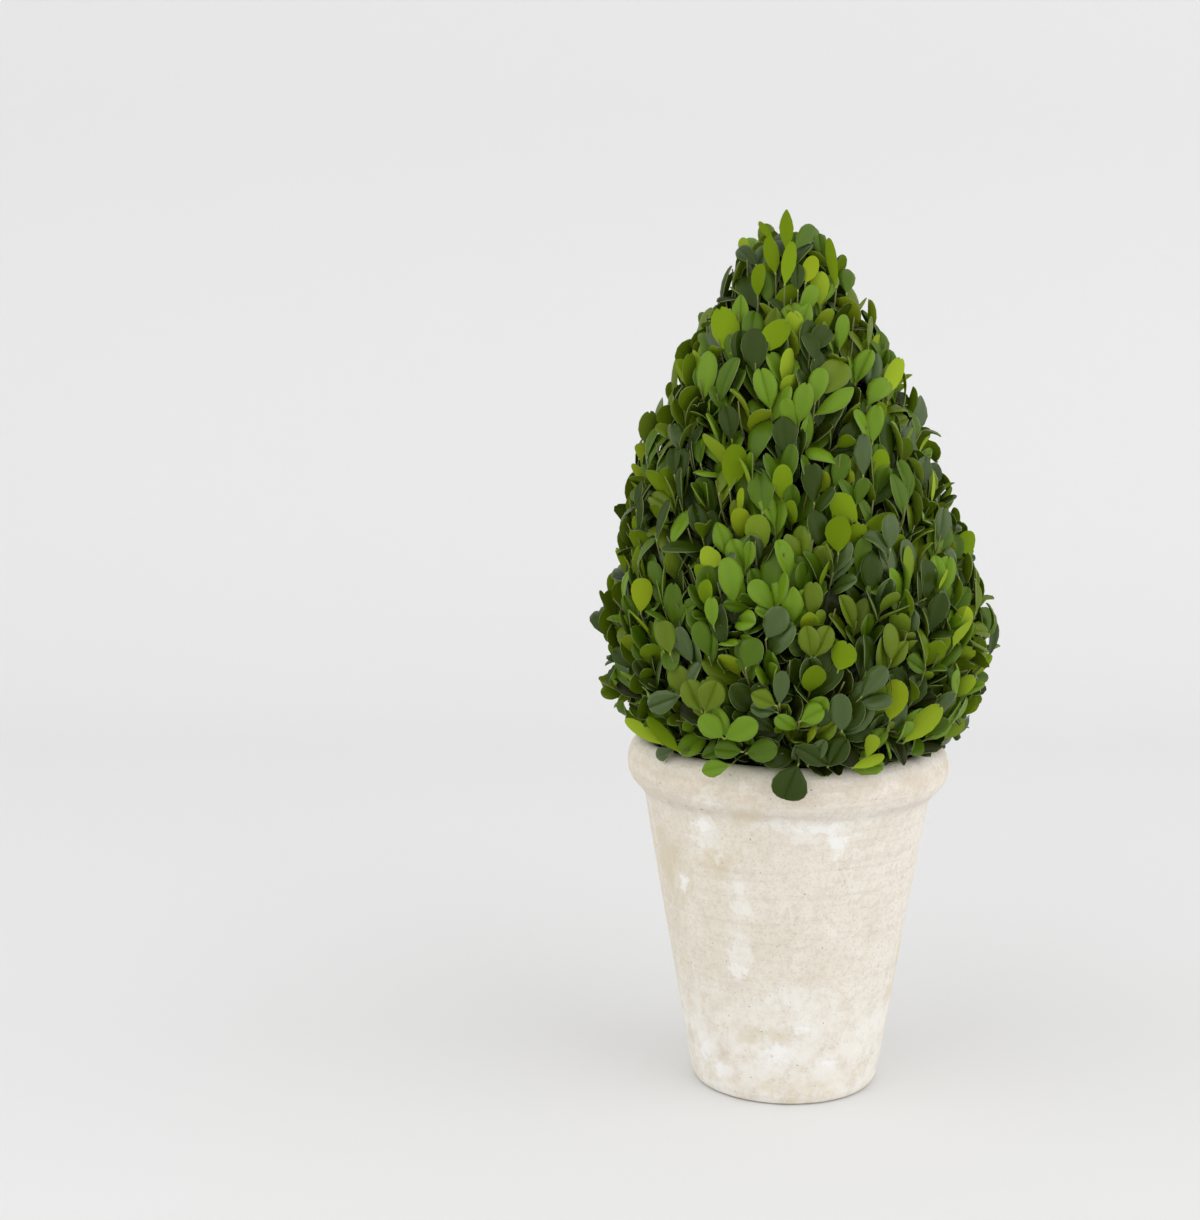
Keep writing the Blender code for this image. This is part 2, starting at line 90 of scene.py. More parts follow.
def makePiece(name, points, polygons, materials, dealt=None, sharp=None, nodes=()):
    # A mesh from whole arrays: points (n, 3), and polygons as arrays of corner numbers, one array per
    # corner count.
    mesh = bpy.data.meshes.new(name)
    corners = np.concatenate([p.ravel() for p in polygons]).astype(np.int32)
    sizes = np.concatenate([np.full(len(p), p.shape[1]) for p in polygons])
    starts = np.concatenate([[0], np.cumsum(sizes)[:-1]]).astype(np.int32)
    mesh.vertices.add(len(points))
    mesh.vertices.foreach_set("co", (points * mm).astype(np.float32).ravel())
    mesh.loops.add(len(corners))
    mesh.loops.foreach_set("vertex_index", corners)
    mesh.polygons.add(len(sizes))
    mesh.polygons.foreach_set("loop_start", starts)
    mesh.polygons.foreach_set("use_smooth", np.ones(len(sizes), bool))
    for material in materials:
        mesh.materials.append(material)
    if dealt is not None:
        mesh.polygons.foreach_set("material_index", dealt.astype(np.int32))
    mesh.update(calc_edges=True)
    if sharp:
        mesh.set_sharp_from_angle(angle=math.radians(sharp))
    piece = bpy.data.objects.new(name, mesh)
    bpy.context.scene.collection.objects.link(piece)
    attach(piece, "root")
    if nodes:
        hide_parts(*nodes)
    triangles = int((sizes - 2).sum())
    say(f"{name}: {triangles} triangles")


def softNoise(points, size, seed):
    # Value noise, -1 to 1: a random number at each corner of cells of this size, blended with a smooth
    # step.
    cell = np.floor(points / size).astype(np.int64)
    part = points / size - cell
    part = part * part * (3 - 2 * part)
    total = np.zeros(len(points))
    for corner in np.ndindex(2, 2, 2):
        at = (cell + corner) * (73856093, 19349663, 83492791)
        code = (at[:, 0] ^ at[:, 1] ^ at[:, 2] ^ (seed * 26543)) & 0x7FFFFFFF
        code = ((code ^ (code >> 13)) * 1274126177) & 0x7FFFFFFF
        code = ((code ^ (code >> 15)) * 668265263) & 0x7FFFFFFF
        value = (code >> 8 & 0xFFFF) / 32767.5 - 1
        total += value * np.where(corner, part, 1 - part).prod(1)
    return total


def turnedFaces(rows, columns):
    # Rows of points round +Z: a quad between each four neighbours, and fans to two more points, the centres
    # of the first and the last row. The profile runs so that its outside is on the right of its direction.
    row, column = np.meshgrid(np.arange(rows - 1), np.arange(columns), indexing="ij")
    after = (column + 1) % columns
    here, below = row * columns, (row + 1) * columns
    quads = np.stack([here + column, below + column, below + after, here + after], -1).reshape(-1, 4)
    around = np.arange(columns)
    beyond = (around + 1) % columns
    last = (rows - 1) * columns
    first = np.stack([np.full(columns, rows * columns), around, beyond], 1)
    final = np.stack([np.full(columns, rows * columns + 1), last + beyond, last + around], 1)
    return [quads, np.concatenate([first, final])]


def turnedPoints(radius, height, angle):
    # x = r cos a, y = r sin a, for grids of r and z, with the two centre points at the end.
    points = np.stack([radius * np.cos(angle), radius * np.sin(angle), height], -1).reshape(-1, 3)
    centres = [[0, 0, height[0].mean()], [0, 0, height[-1].mean()]]
    return np.concatenate([points, centres])


def ringFaces(count, rows, sides):
    # Closed tubes, count of them, of rings that run anticlockwise as seen from their last ring: quads, and
    # end caps.
    form, row, side = np.meshgrid(np.arange(count), np.arange(rows - 1), np.arange(sides), indexing="ij")
    start = (form * rows + row) * sides
    after = (side + 1) % sides
    corners = [start + side, start + after, start + sides + after, start + sides + side]
    quads = np.stack(corners, -1).reshape(-1, 4)
    base = np.arange(count)[:, None] * rows * sides
    caps = np.concatenate([base + np.arange(sides)[::-1], base + (rows - 1) * sides + np.arange(sides)])
    return quads, caps


def tubePoints(paths, radii, sides):
    # A circle of radius r(t) square to each path (n, rows, 3) at every row: centre + r (cos a, sin a) in
    # that plane.
    tangent = unit(np.gradient(paths, axis=1))
    chord = unit(paths[:, -1] - paths[:, 0] + 1e-9)
    other = np.where(np.abs(chord[:, 2:]) > 0.8, [[1.0, 0, 0]], [[0, 0, 1.0]])
    hint = unit(np.cross(chord, other))[:, None]
    across = unit(np.cross(tangent, hint))
    up = np.cross(tangent, across)
    turn = np.arange(sides) * 2 * math.pi / sides
    ring = across[:, :, None] * np.cos(turn)[:, None] + up[:, :, None] * np.sin(turn)[:, None]
    return paths[:, :, None] + ring * radii[:, :, None, None]


# Camera, fitted to the pot's ellipses: 2000 px of focal length for the 1220 px side, looking 8 degrees
# down.
view = {"place": (-0.10424, -1.09240, 0.41930), "down": 8.0156, "lens": 2000 / 1220 * 36}

camera = bpy.data.objects.new("camera", bpy.data.cameras.new("camera"))
camera.data.sensor_width = 36
camera.data.lens = view["lens"]
looking = Matrix.Rotation(math.radians(90 - view["down"]), 4, "X")
camera.matrix_world = Matrix.Translation(view["place"]) @ looking
bpy.context.scene.collection.objects.link(camera)
bpy.context.scene.camera = camera

# Studio: a pale sweep, an even white surround, and two large soft lights from the front, left and right.
studio = {
    "floor": "#E0E0E0",
    "front": -2600,
    "bend": 900,
    "rise": 2600,
    "half": 3200,
    "radius": 700,
    "drop": 0.2,
    "surround": 0.9,
    "aim": 0.22,
    "lights": (
        ((-1.8, -1.2, 2.0), 3.0, 18.5),
        ((1.9, -1.15, 1.6), 3.0, 24.5),
    ),
}


def buildStudio():
    # The sweep is a line carried along x: flat floor, a quarter circle, then a wall.
    s = studio
    turn = np.linspace(0, math.pi / 2, 24)
    y = np.concatenate([[s["front"]], s["bend"] + s["radius"] * np.sin(turn), [s["bend"] + s["radius"]]])
    z = np.concatenate([[0], s["radius"] * (1 - np.cos(turn)), [s["rise"]]]) - s["drop"]
    x = np.array([-s["half"], s["half"]])
    points = np.stack(np.broadcast_arrays(x[:, None], y, z), -1).reshape(-1, 3)
    i = np.arange(len(y) - 1)
    quads = np.stack([i, i + len(y), i + len(y) + 1, i + 1], 1)
    mesh = bpy.data.meshes.new("sweep")
    mesh.from_pydata((points * mm).tolist(), [], quads.tolist())
    mesh.polygons.foreach_set("use_smooth", np.ones(len(quads), bool))
    paper = newMaterial("matt_paper", Base_Color=linearColour(s["floor"]), Roughness=0.9)[0]
    mesh.materials.append(paper)
    sweep = bpy.data.objects.new("sweep", mesh)
    bpy.context.scene.collection.objects.link(sweep)
    world = bpy.data.worlds.new("surround")
    world.use_nodes = True
    world.node_tree.nodes["Background"].inputs["Color"].default_value = (1, 1, 1, 1)
    world.node_tree.nodes["Background"].inputs["Strength"].default_value = s["surround"]
    bpy.context.scene.world = world
    for place, size, power in s["lights"]:
        lamp = bpy.data.lights.new("soft_light", "AREA")
        lamp.size = size
        lamp.energy = power
        holder = bpy.data.objects.new("soft_light", lamp)
        holder.location = place
        holder.rotation_euler = (Vector((0, 0, s["aim"])) - Vector(place)).to_track_quat("-Z", "Y").to_euler()
        bpy.context.scene.collection.objects.link(holder)
    bpy.context.scene.view_settings.view_transform = "Standard"


buildStudio()
say("camera and studio")

# Pot: thrown clay, a straight cone with a rolled rim.
pot = {
    "height": 194.5,
    "foot": 51.8,
    "footRound": 3.6,
    "neck": 79.2,
    "neckHeight": 167,
    "rim": 88.6,
    "rimHalfHeight": 13,
    "wall": 9,
    "floor": 12,
    "columns": 400,
    "unevenness": ((70, 0.55), (24, 0.22), (8, 0.07)),
    "rimWave": 0.55,
    "rimTilt": 0.01,
    "creaseRounds": 5,
    "throwingStep": 3.3,
    "throwingDepth": 0.05,
    "throwingDrift": 0.02,
    "chipDepth": 1.5,
    "seed": 3,
}
rimHalfWidth = (pot["rim"] - pot["neck"] + pot["wall"]) / 2
rimCentre = pot["rim"] - rimHalfWidth
rimMiddle = pot["height"] - pot["rimHalfHeight"]


def potProfile():
    # Inner floor, inner wall, rim as an upright ellipse, straight outer wall, rounded foot, underside.
    p = pot
    slope = (p["neck"] - p["foot"]) / p["neckHeight"]
    innerFoot = p["foot"] + slope * p["floor"] - p["wall"]
    inside = np.stack([np.linspace(6, innerFoot, 6), np.full(6, p["floor"])], 1)
    steps = np.linspace(p["floor"] + 6, p["neckHeight"], 18)
    wallIn = np.stack([p["foot"] + slope * steps - p["wall"], steps], 1)
    turn = np.radians(np.linspace(176, -62, 52))
    roll = np.stack([
        rimCentre + rimHalfWidth * np.cos(turn),
        rimMiddle + p["rimHalfHeight"] * np.sin(turn),
    ], 1)
    steps = np.linspace(p["neckHeight"] - 1.2, p["footRound"] * 1.2, 134)
    wallOut = np.stack([p["foot"] + slope * steps, steps], 1)
    turn = np.linspace(0.15, math.pi / 2, 7)
    foot = np.stack([
        p["foot"] - p["footRound"] * (1 - np.cos(turn)),
        p["footRound"] * (1 - np.sin(turn)),
    ], 1)
    under = np.stack([np.linspace(p["foot"] - p["footRound"] - 3, 5, 6), np.zeros(6)], 1)
    profile = np.concatenate([inside, wallIn, roll, wallOut, foot, under])
    crease = np.arange(len(inside) + len(wallIn) + 30, len(inside) + len(wallIn) + len(roll) + 12)
    for _ in range(p["creaseRounds"]):  # each point towards its neighbours, which fillets the neck
        profile[crease] = (profile[crease - 1] + 2 * profile[crease] + profile[crease + 1]) / 4
    return profile


def buildPot(materials):
    # Turned profile, then pushed along its radius by value noise, throwing lines and chips at the foot.
    p = pot
    profile = potProfile()
    angle = np.arange(p["columns"]) * 2 * math.pi / p["columns"]
    radius, angle = np.meshgrid(profile[:, 0], angle, indexing="ij")
    height = np.repeat(profile[:, 1:], p["columns"], 1)
    flat = turnedPoints(radius, height, angle)[:-2]
    push = sum(depth * softNoise(flat, size, p["seed"] + int(size)) for size, depth in p["unevenness"])
    ring = softNoise(flat * (0.05, 0.05, 1), 2.2, 9) * 0.5 + 0.5
    wound = 2 * math.pi * flat[:, 2] / p["throwingStep"] + flat[:, 0] * p["throwingDrift"]
    push += p["throwingDepth"] * ring * np.sin(wound)
    chip = np.clip(softNoise(flat * (1, 1, 0.4), 7, 21) - 0.45, 0, 1) * np.clip(1 - flat[:, 2] / 4.5, 0, 1)
    push -= p["chipDepth"] * chip * (flat[:, 2] > 0)
    fade = np.clip(flat[:, 2] / 3, 0, 1) ** 0.5
    push = (push * fade).reshape(radius.shape)
    wave = p["rimWave"] * softNoise(flat * (1, 1, 0), 55, 31).reshape(radius.shape)
    wave = wave - p["rimWave"] - p["rimTilt"] * radius * np.cos(angle)
    height = height + wave * np.clip((height - 150) / 30, 0, 1)
    radius = np.maximum(radius + np.where(radius > 40, push, 0), 1)
    points = turnedPoints(radius, height, angle)
    faces = turnedFaces(*radius.shape)
    makePiece("pot_clay", points, faces, materials, nodes=["pot"])


# One row a layer of colour: size of the noise in mm, its detail and stretch, the range of noise over which
# the layer comes in, its colour and strength, its weight in the relief, the heights (mm) between which it
# lies, and its place: ellipses on the front, (x, z, half width, half height) in mm, towards whose middles
# the noise is raised.
clay = {
    # Painted light: the wash is painted darker on the pot's left and brighter on its right, as for lamps that
    # fall more from the right; the two colours blend across the front.
    "left": "#E5DECF",
    "right": "#ECE5DA",
    "layers": (
        (46, 6, (1, 1, 1), (0.40, 0.66), "#D9CFBE", 0.36, 0.0, (), ()),
        (11, 6, (1, 1, 0.8), (0.44, 0.68), "#F1EDE4", 0.40, 0.1, (), ()),
        (70, 6, (1, 1, 24), (0.47, 0.70), "#D3C5B8", 0.34, -0.2, (), ()),
        (7, 5, (1, 1, 0.12), (0.48, 0.70), "#F2EEE4", 0.34, 0.1, (), ()),
        (4, 7, (1, 1, 1), (0.46, 0.70), "#CDC1AF", 0.42, -0.2, (), ()),
        (1.5, 4, (1, 1, 1), (0.46, 0.66), "#C9BCA9", 0.34, -0.3, (), ()),
        (18, 6, (1, 1, 2.2), (0.36, 0.62), "#D0BDA5", 0.44, 0.0, (171, 179, 184, 192), ()),
        # Partly the crease's own mauve tint, partly painted shade: this band darkens the crease under the
        # rim, where the roll shades the wall.
        (30, 6, (1, 1, 4), (0.38, 0.56), "#C9BAB7", 0.28, 0.0, (164.5, 167.5, 168.5, 171.5), ()),
        (13, 7, (1, 1, 1), (0.34, 0.58), "#F4F1EB", 0.72, 0.1, (-5, 0, 36, 76), ()),
        (15, 5, (1, 1, 1.5), (0.46, 0.66), "#DCCCA6", 0.45, 0.0, (-5, 0, 5, 20), ()),
        (12, 8, (1, 1, 0.8), (0.46, 0.78), "#D2C5A6", 0.55, -0.1, (), (
            (-66, 134, 18, 30), (-40, 140, 14, 12), (-28, 168, 12, 8), (60, 60, 20, 30), (-20, 40, 20, 10),
        )),
        (7, 10, (1, 1, 0.9), (0.55, 0.74), "#F5F4F0", 0.48, 0.2, (), (
            (-48, 152, 17, 15), (-58, 124, 6, 12), (8, 158, 28, 8), (20, 152, 12, 10), (-30, 88, 12, 18),
            (-46, 28, 9, 13), (-36, 18, 9, 7), (-6, 30, 16, 17), (5, 48, 13, 9), (18, 24, 11, 6),
            (-48, 174, 14, 4), (2, 62, 20, 14), (-30, 120, 8, 22), (0, 163, 46, 5),
        )),
        (3.6, 9, (1, 1, 0.8), (0.60, 0.68), "#F8F8F7", 0.52, 0.2, (), (
            (-59, 122, 3, 9), (12, 161, 20, 4), (20, 154, 9, 8), (-46, 25, 4, 9), (-38, 16, 6, 5),
            (-9, 31, 8, 10), (20, 24, 8, 3), (-50, 158, 7, 6), (-30, 78, 8, 6), (4, 46, 8, 4), (-46,
            174, 9, 2),
        )),
        (1.8, 2, (1, 1, 1), (0.70, 0.75), "#8E6F50", 0.70, -1.2, (), ()),
    ),
    "spotPush": 0.3,
    "spotLeast": -0.7,
    "spotDepth": 20,
    # Painted light: the width in mm over which the painted darker left turns into the painted brighter right.
    "paintedLightBlend": 60,
    "grain": 0.62,
    "bumpDepth": 0.6,
    "bumpStrength": 0.6,
}


def clayMaterial():
    # Thrown earthenware, brushed with lime wash and rubbed back: chalky and dry, mottled and grainy, with
    # drag lines from the brush, white smears where the wash is thick, and small pits. The base colour also
    # carries painted light: the left side is painted darker and the right side brighter, and a band of
    # painted shade lies in the crease under the rim.
    material, tree, principled = newMaterial("limewashed_earthenware", Roughness=0.9, IOR=1.45)
    place = addNode(tree, "TexCoord").outputs["Object"]
    split = addNode(tree, "SeparateXYZ", None, {"Vector": place})
    smooth = {"interpolation_type": "SMOOTHSTEP"}
    times, plus = {"operation": "MULTIPLY"}, {"operation": "ADD"}
    # Painted light: across the front the base colour runs from the painted darker left to the painted
    # brighter right.
    side = addNode(tree, "MapRange", smooth, {
        "Value": split.outputs["X"], "From Min": -clay["paintedLightBlend"] * mm, "From Max": clay["paintedLightBlend"] * mm,
    })
    colour = addNode(tree, "MixRGB", None, {
        "Fac": side.outputs["Result"],
        "Color1": linearColour(clay["left"]), "Color2": linearColour(clay["right"]),
    }).outputs[0]
    relief = 0.0
    for number, layer in enumerate(clay["layers"]):
        size, detail, stretch, (low, high), tint, strength, weight, band, spots = layer
        mapped = addNode(tree, "Mapping", None, {
            "Vector": place, "Scale": stretch, "Location": (0.3 * number, 0.3 * number, 0),
        })
        value = addNode(tree, "TexNoise", None, {
            "Vector": mapped.outputs[0], "Scale": 1 / (size * mm), "Detail": detail,
            "Roughness": clay["grain"],
        }).outputs["Fac"]
        nearest = clay["spotLeast"]
        for x, z, wide, tall in spots:  # 1 in the middle of the nearest ellipse, 0 at its edge, less beyond
            around = pot["foot"] + (pot["neck"] - pot["foot"]) * min(z / pot["neckHeight"], 1)
            depth = -math.sqrt(around**2 - x * x)
            radii = (1 / (wide * mm), 1 / (clay["spotDepth"] * mm), 1 / (tall * mm))
            centre = tuple(-c * mm * r for c, r in zip((x, depth, z), radii))
            inEllipse = addNode(tree, "Mapping", None, {"Vector": place, "Scale": radii, "Location": centre})
            far = addNode(tree, "VectorMath", {"operation": "LENGTH"}, {0: inEllipse.outputs[0]})
            near = addNode(tree, "Math", {"operation": "SUBTRACT"}, {0: 1.0, 1: far.outputs["Value"]})
            larger = addNode(tree, "Math", {"operation": "MAXIMUM"}, {0: near.outputs[0], 1: nearest})
            nearest = larger.outputs[0]
        if spots:
            value = addNode(tree, "Math", {"operation": "MULTIPLY_ADD"}, {
                0: nearest, 1: clay["spotPush"], 2: value,
            }).outputs[0]
        amount = addNode(tree, "MapRange", smooth, {
            "Value": value, "From Min": low, "From Max": high, "To Max": strength,
        }).outputs["Result"]
        for start, end in zip(band[::2], band[1::2]):
            rising = start < band[2]
            edge = addNode(tree, "MapRange", smooth, {
                "Value": split.outputs["Z"], "From Min": start * mm, "From Max": end * mm,
                "To Min": 0.0 if rising else 1.0, "To Max": 1.0 if rising else 0.0,
            })
            amount = addNode(tree, "Math", times, {0: amount, 1: edge.outputs["Result"]}).outputs[0]
        colour = addNode(tree, "MixRGB", None, {
            "Fac": amount, "Color1": colour, "Color2": linearColour(tint),
        }).outputs[0]
        if weight:
            scaled = addNode(tree, "Math", times, {0: amount, 1: weight})
            relief = addNode(tree, "Math", plus, {0: scaled.outputs[0], 1: relief}).outputs[0]
    tree.links.new(colour, principled.inputs["Base Color"])
    bump = addNode(tree, "Bump", None, {
        "Height": relief, "Distance": clay["bumpDepth"] * mm, "Strength": clay["bumpStrength"],
    })
    tree.links.new(bump.outputs[0], principled.inputs["Normal"])
    return material


buildPot([clayMaterial()])

# Filling: dry, dark and crumbly, up to 10.5 mm under the top of the rim.
filling = {"top": 184, "gap": 0.8, "lump": 1.1, "columns": 150}


def buildFilling():
    # A disc with a lumpy top: z = top + lumps of value noise, over a plain cone that follows the pot's
    # wall.
    f = filling
    slope = (pot["neck"] - pot["foot"]) / pot["neckHeight"]
    levels = np.linspace(f["top"] - 3, pot["floor"] + 1, 8)
    edge = np.minimum(pot["foot"] + slope * levels - pot["wall"], pot["neck"] - pot["wall"]) - f["gap"]
    top = np.linspace(2, pot["neck"] - pot["wall"] - f["gap"], 40)
    profile = np.concatenate([
        np.stack([top, np.full(40, f["top"])], 1), np.stack([edge, levels], 1), [[3, pot["floor"] + 1]],
    ])
    angle = np.arange(f["columns"]) * 2 * math.pi / f["columns"]
    radius, angle = np.meshgrid(profile[:, 0], angle, indexing="ij")
    height = np.repeat(profile[:, 1:].astype(float), f["columns"], 1)
    flat = turnedPoints(radius, height, angle)[:-2]
    lumps = (softNoise(flat, 6, 4) + 0.6 * softNoise(flat, 2.4, 5)).reshape(radius.shape)
    height = height + np.where(height > f["top"] - 0.5, f["lump"] * lumps, 0)
    material, tree, principled = newMaterial("dry_peat_filling", Roughness=0.95)
    place = addNode(tree, "TexCoord").outputs["Object"]
    grain = addNode(tree, "TexNoise", None, {"Vector": place, "Scale": 420.0, "Detail": 5.0})
    ramp = addNode(tree, "ValToRGB", None, {"Fac": grain.outputs["Fac"]}, [
        (0.35, linearColour("#1C140D")), (0.7, linearColour("#4A3826")),
    ])
    tree.links.new(ramp.outputs[0], principled.inputs["Base Color"])
    points = turnedPoints(radius, height, angle)
    faces = turnedFaces(*radius.shape)
    makePiece("filling_crumb", points, faces, [material], nodes=["pot_filling"])


buildFilling()

# Stem: short and straight-grained, with a root flare, a slight lean and one slow bend.
stem = {
    "bottom": 183,
    "top": 424,
    "radius": 7,
    "root": 12,
    "flare": 14,
    "tip": 3,
    "lean": 4,
    "sway": 1.2,
    "sides": 48,
    "rows": 150,
    "furrow": 0.35,
    "knot": 0.5,
}


def stemCentre(height):
    # x = lean s s (3 - 2 s), y = sway sin(pi s) squared, with s from 0 at the filling to 1 at the tip.
    share = np.clip((height - filling["top"]) / (stem["top"] - filling["top"]), 0, 1)
    x = stem["lean"] * share * share * (3 - 2 * share)
    y = stem["sway"] * np.sin(math.pi * share) ** 2
    return np.stack([x, y, np.asarray(height, float)], -1)


def barkMaterial():
    # Box bark: pale grey-brown, finely ridged and a little corky, with lighter scales.
    material, tree, principled = newMaterial("box_bark", Roughness=0.85)
    place = addNode(tree, "TexCoord").outputs["Object"]
    mapped = addNode(tree, "Mapping", None, {"Vector": place, "Scale": (1, 1, 0.25)})
    ridges = addNode(tree, "TexNoise", None, {"Vector": mapped.outputs[0], "Scale": 700.0, "Detail": 6.0})
    ramp = addNode(tree, "ValToRGB", None, {"Fac": ridges.outputs["Fac"]}, [
        (0.35, linearColour("#4A3D2C")), (0.65, linearColour("#8C7B5E")),
    ])
    tree.links.new(ramp.outputs[0], principled.inputs["Base Color"])
    bump = addNode(tree, "Bump", None, {"Height": ridges.outputs["Fac"], "Distance": 0.0005, "Strength": 0.6})
    tree.links.new(bump.outputs[0], principled.inputs["Normal"])
    return material


bark = barkMaterial()


def buildStem():
    # A tube along the stem's line; its radius carries furrows that run up it, drawn by stretched value
    # noise.
    s = stem
    height = np.linspace(s["bottom"], s["top"] + 1, s["rows"])
    share = np.clip((height - filling["top"]) / (s["top"] - filling["top"]), 0, 1)
    above = np.clip(height - filling["top"], 0, None)
    flare = np.clip(1 - above / s["flare"], 0, None) ** 2 * (s["root"] - s["radius"])
    radius = s["radius"] + (s["tip"] - s["radius"]) * share + flare
    path = stemCentre(height)[None]
    points = tubePoints(path, radius[None], s["sides"]).reshape(-1, 3)
    middle = np.repeat(path.reshape(-1, 3), s["sides"], 0)
    relief = s["furrow"] * softNoise(points * (1, 1, 0.12), 1.6, 51) + s["knot"] * softNoise(points, 11, 52)
    points = points + unit(points - middle) * relief[:, None]
    quads, caps = ringFaces(1, s["rows"], s["sides"])
    makePiece("stem_bark", points, [quads, caps], [bark], nodes=["stem"])


buildStem()

# Crown: the clipped outline and the middle of the crown at each height, both fitted to the photo, and the
# lower edges of the four masses, as in the source.
crown = {
    "outline": (
        (172, 91), (196, 95), (206, 99), (222, 104), (245, 107), (266, 108), (285, 101), (300, 97), (345, 84),
        (385, 69), (420, 52), (440, 38), (455, 29), (468, 20), (480, 6),
    ),
    "middle": ((203, 4.5), (260, 4.5), (300, 2), (350, -1), (400, -1.5), (450, -4), (480, -5)),
    "lobes": 2.6,
    "lobeSize": 34,
    "top": 476,
    "bottom": 191,
    "side": 115.5,
    "reach": (9, 4, 1.0),
    "masses": (("foliage_skirt", 0), ("foliage_lower", 251), ("foliage_upper", 318), ("foliage_tip", 384)),
    "sprigs": 780,
    "firstTip": 203,
    "lastTip": 468,
    "goldenAngle": 137.508,
    "tipElevation": ((203, 4), (212, 14), (230, 40), (255, 62), (300, 71), (380, 76), (446, 85), (470, 88)),
    "footElevation": ((203, 16), (212, 14), (235, 14), (270, 18), (320, 26), (400, 40), (446, 72), (470, 86)),
    "tuft": (55, 0.35, 11),
    "leanScatter": 9,
    "steepest": 86,
    "sidewaysScatter": 0.28,
    "sunk": (1, 16),
    "length": (33, 43),
    "pairGap": 6.4,
    "pairSplay": (14, 24, 32, 38, 43, 47),
    "pairSize": (0.86, 0.98, 1.0, 1.0, 0.97, 0.92),
    "deepPair": 3,
    # Painted shade: pairs past this, with some scatter, get the last and darkest tone.
    "shadedPair": 4,
    "splayScatter": 9,
    "rollScatter": 22,
    "facing": 0.38,
    "lift": 0.1,
    "leafLength": 24.5,
    "leafWidth": 14.0,
    "sizeScatter": (0.8, 1.1),
    "heightScatter": 1.5,
    "azimuthScatter": 0.03,
    "turnScatter": 0.12,
    "slim": (0.86, 1.1),
    "bend": (0.25, 0.45),
    "fold": (0.14, 0.22),
    "young": (20, 0.72),
    "near": 21.0,
    "tries": (
        (1.0, 0.0, 1.0), (0.75, 0.15, 1.0), (1.25, -0.15, 0.97), (0.5, -0.3, 0.95), (1.45, 0.3, 0.92),
        (0.85, 0.5, 0.88), (1.1, -0.5, 0.84), (0.5, 0.2, 0.8),
    ),
    "shootChance": 0.1,
    "shootAngle": 0.7,
    "shootLength": (11, 15),
    "handGap": 8.5,
    "frontward": (-0.1, -0.93, 0.35),
    "handTwig": 34,
    "handBend": 0.35,
    "handFold": 0.2,
    "seed": 17,
}
outlineHeight, outlineRadius = np.array(crown["outline"], float).T
middleHeight, middlePlace = np.array(crown["middle"], float).T

# Leaves: box, leathery. Rings of eight points: five over the top, the two edges and the middle underneath.
leaf = {
    "ring": np.array([-0.97, -0.5, 0, 0.5, 0.97, 1.0, 0, -1.0]),
    "below": np.array([0, 0, 0, 0, 0, 0.6, 1.0, 0.6]),
    "toWidest": np.array([0.0, 0.2, 0.55, 1.0]),
    "toTip": np.array([0.42, 0.72, 0.9, 0.985]),
    "toWidestDeep": np.array([0.0, 0.45, 1.0]),
    "toTipDeep": np.array([0.7, 0.97]),
    "thickness": 0.34,
    "stalkWidth": 0.9,
    "stalkLength": 1.6,
    "leastBend": 0.02,
    "midrib": 0.15,
    "notchRise": 9,
    "notchSide": 1.3,
    "drawn": {"widest": (0.48, 0.14, 0), "taper": (0.7, 0.35, 1), "arch": (0.04, 0.26, 4)},
    "blunt": (1.9, 0.7),
    "pointed": (0.12, 1.5, 1.4),
    "notch": (0.75, 0.06),
    "twist": 0.7,
    "sharp": 60,
}
